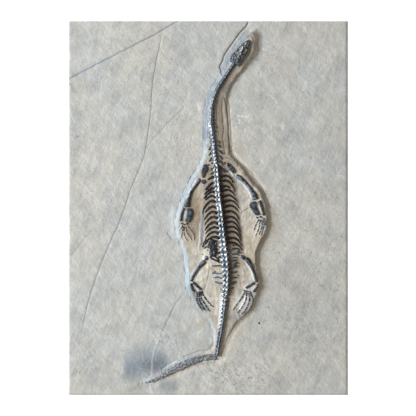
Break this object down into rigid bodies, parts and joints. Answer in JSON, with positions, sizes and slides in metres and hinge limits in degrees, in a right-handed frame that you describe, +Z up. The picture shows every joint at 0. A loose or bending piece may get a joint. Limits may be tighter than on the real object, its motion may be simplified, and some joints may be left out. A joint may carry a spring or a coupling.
{
  "type": "keichousaurus fossil",
  "caption": "Rectangular limestone slab with a small long-necked marine reptile skeleton, seen from above, on a raised bed.",
  "frame": {"origin": "centre of the slab's flat underside", "axes": "+Z up out of the skeleton's back, +Y along the slab to the head end, +X to the right seen from above"},
  "size_m": [0.196, 0.262, 0.0239],
  "materials": {
    "limestone": "matt pale grey limestone, tan and freshly scraped round the bones",
    "fossil_bone": "blue-black mineralised bone with a slight gloss"
  },
  "bodies": {
    "root": {"slab": "limestone", "skull": "fossil_bone", "neck_vertebrae": "fossil_bone", "back_vertebrae": "fossil_bone", "tail_vertebrae": "fossil_bone", "tail_end": "fossil_bone", "gut_mass": "fossil_bone", "left_rib_01": "fossil_bone", "left_rib_02": "fossil_bone", "left_rib_03": "fossil_bone", "left_rib_04": "fossil_bone", "left_rib_05": "fossil_bone", "left_rib_06": "fossil_bone", "left_rib_07": "fossil_bone", "left_rib_08": "fossil_bone", "left_rib_09": "fossil_bone", "left_rib_10": "fossil_bone", "left_rib_11": "fossil_bone", "left_rib_12": "fossil_bone", "left_rib_13": "fossil_bone", "right_rib_01": "fossil_bone", "right_rib_02": "fossil_bone", "right_rib_03": "fossil_bone", "right_rib_04": "fossil_bone", "right_rib_05": "fossil_bone", "right_rib_06": "fossil_bone", "right_rib_07": "fossil_bone", "right_rib_08": "fossil_bone", "right_rib_09": "fossil_bone", "right_rib_10": "fossil_bone", "right_rib_11": "fossil_bone", "right_rib_12": "fossil_bone", "right_rib_13": "fossil_bone", "right_rib_14": "fossil_bone", "left_scapula": "fossil_bone", "left_coracoid": "fossil_bone", "left_humerus": "fossil_bone", "left_radius": "fossil_bone", "left_ulna": "fossil_bone", "left_hand": "fossil_bone", "right_scapula": "fossil_bone", "right_humerus": "fossil_bone", "right_radius": "fossil_bone", "right_ulna": "fossil_bone", "right_hand": "fossil_bone", "left_pelvis": "fossil_bone", "left_femur": "fossil_bone", "left_tibia": "fossil_bone", "left_fibula": "fossil_bone", "left_foot": "fossil_bone", "right_pelvis": "fossil_bone", "right_femur": "fossil_bone", "right_tibia": "fossil_bone", "right_fibula": "fossil_bone", "right_foot": "fossil_bone"}
  },
  "joints": []
}
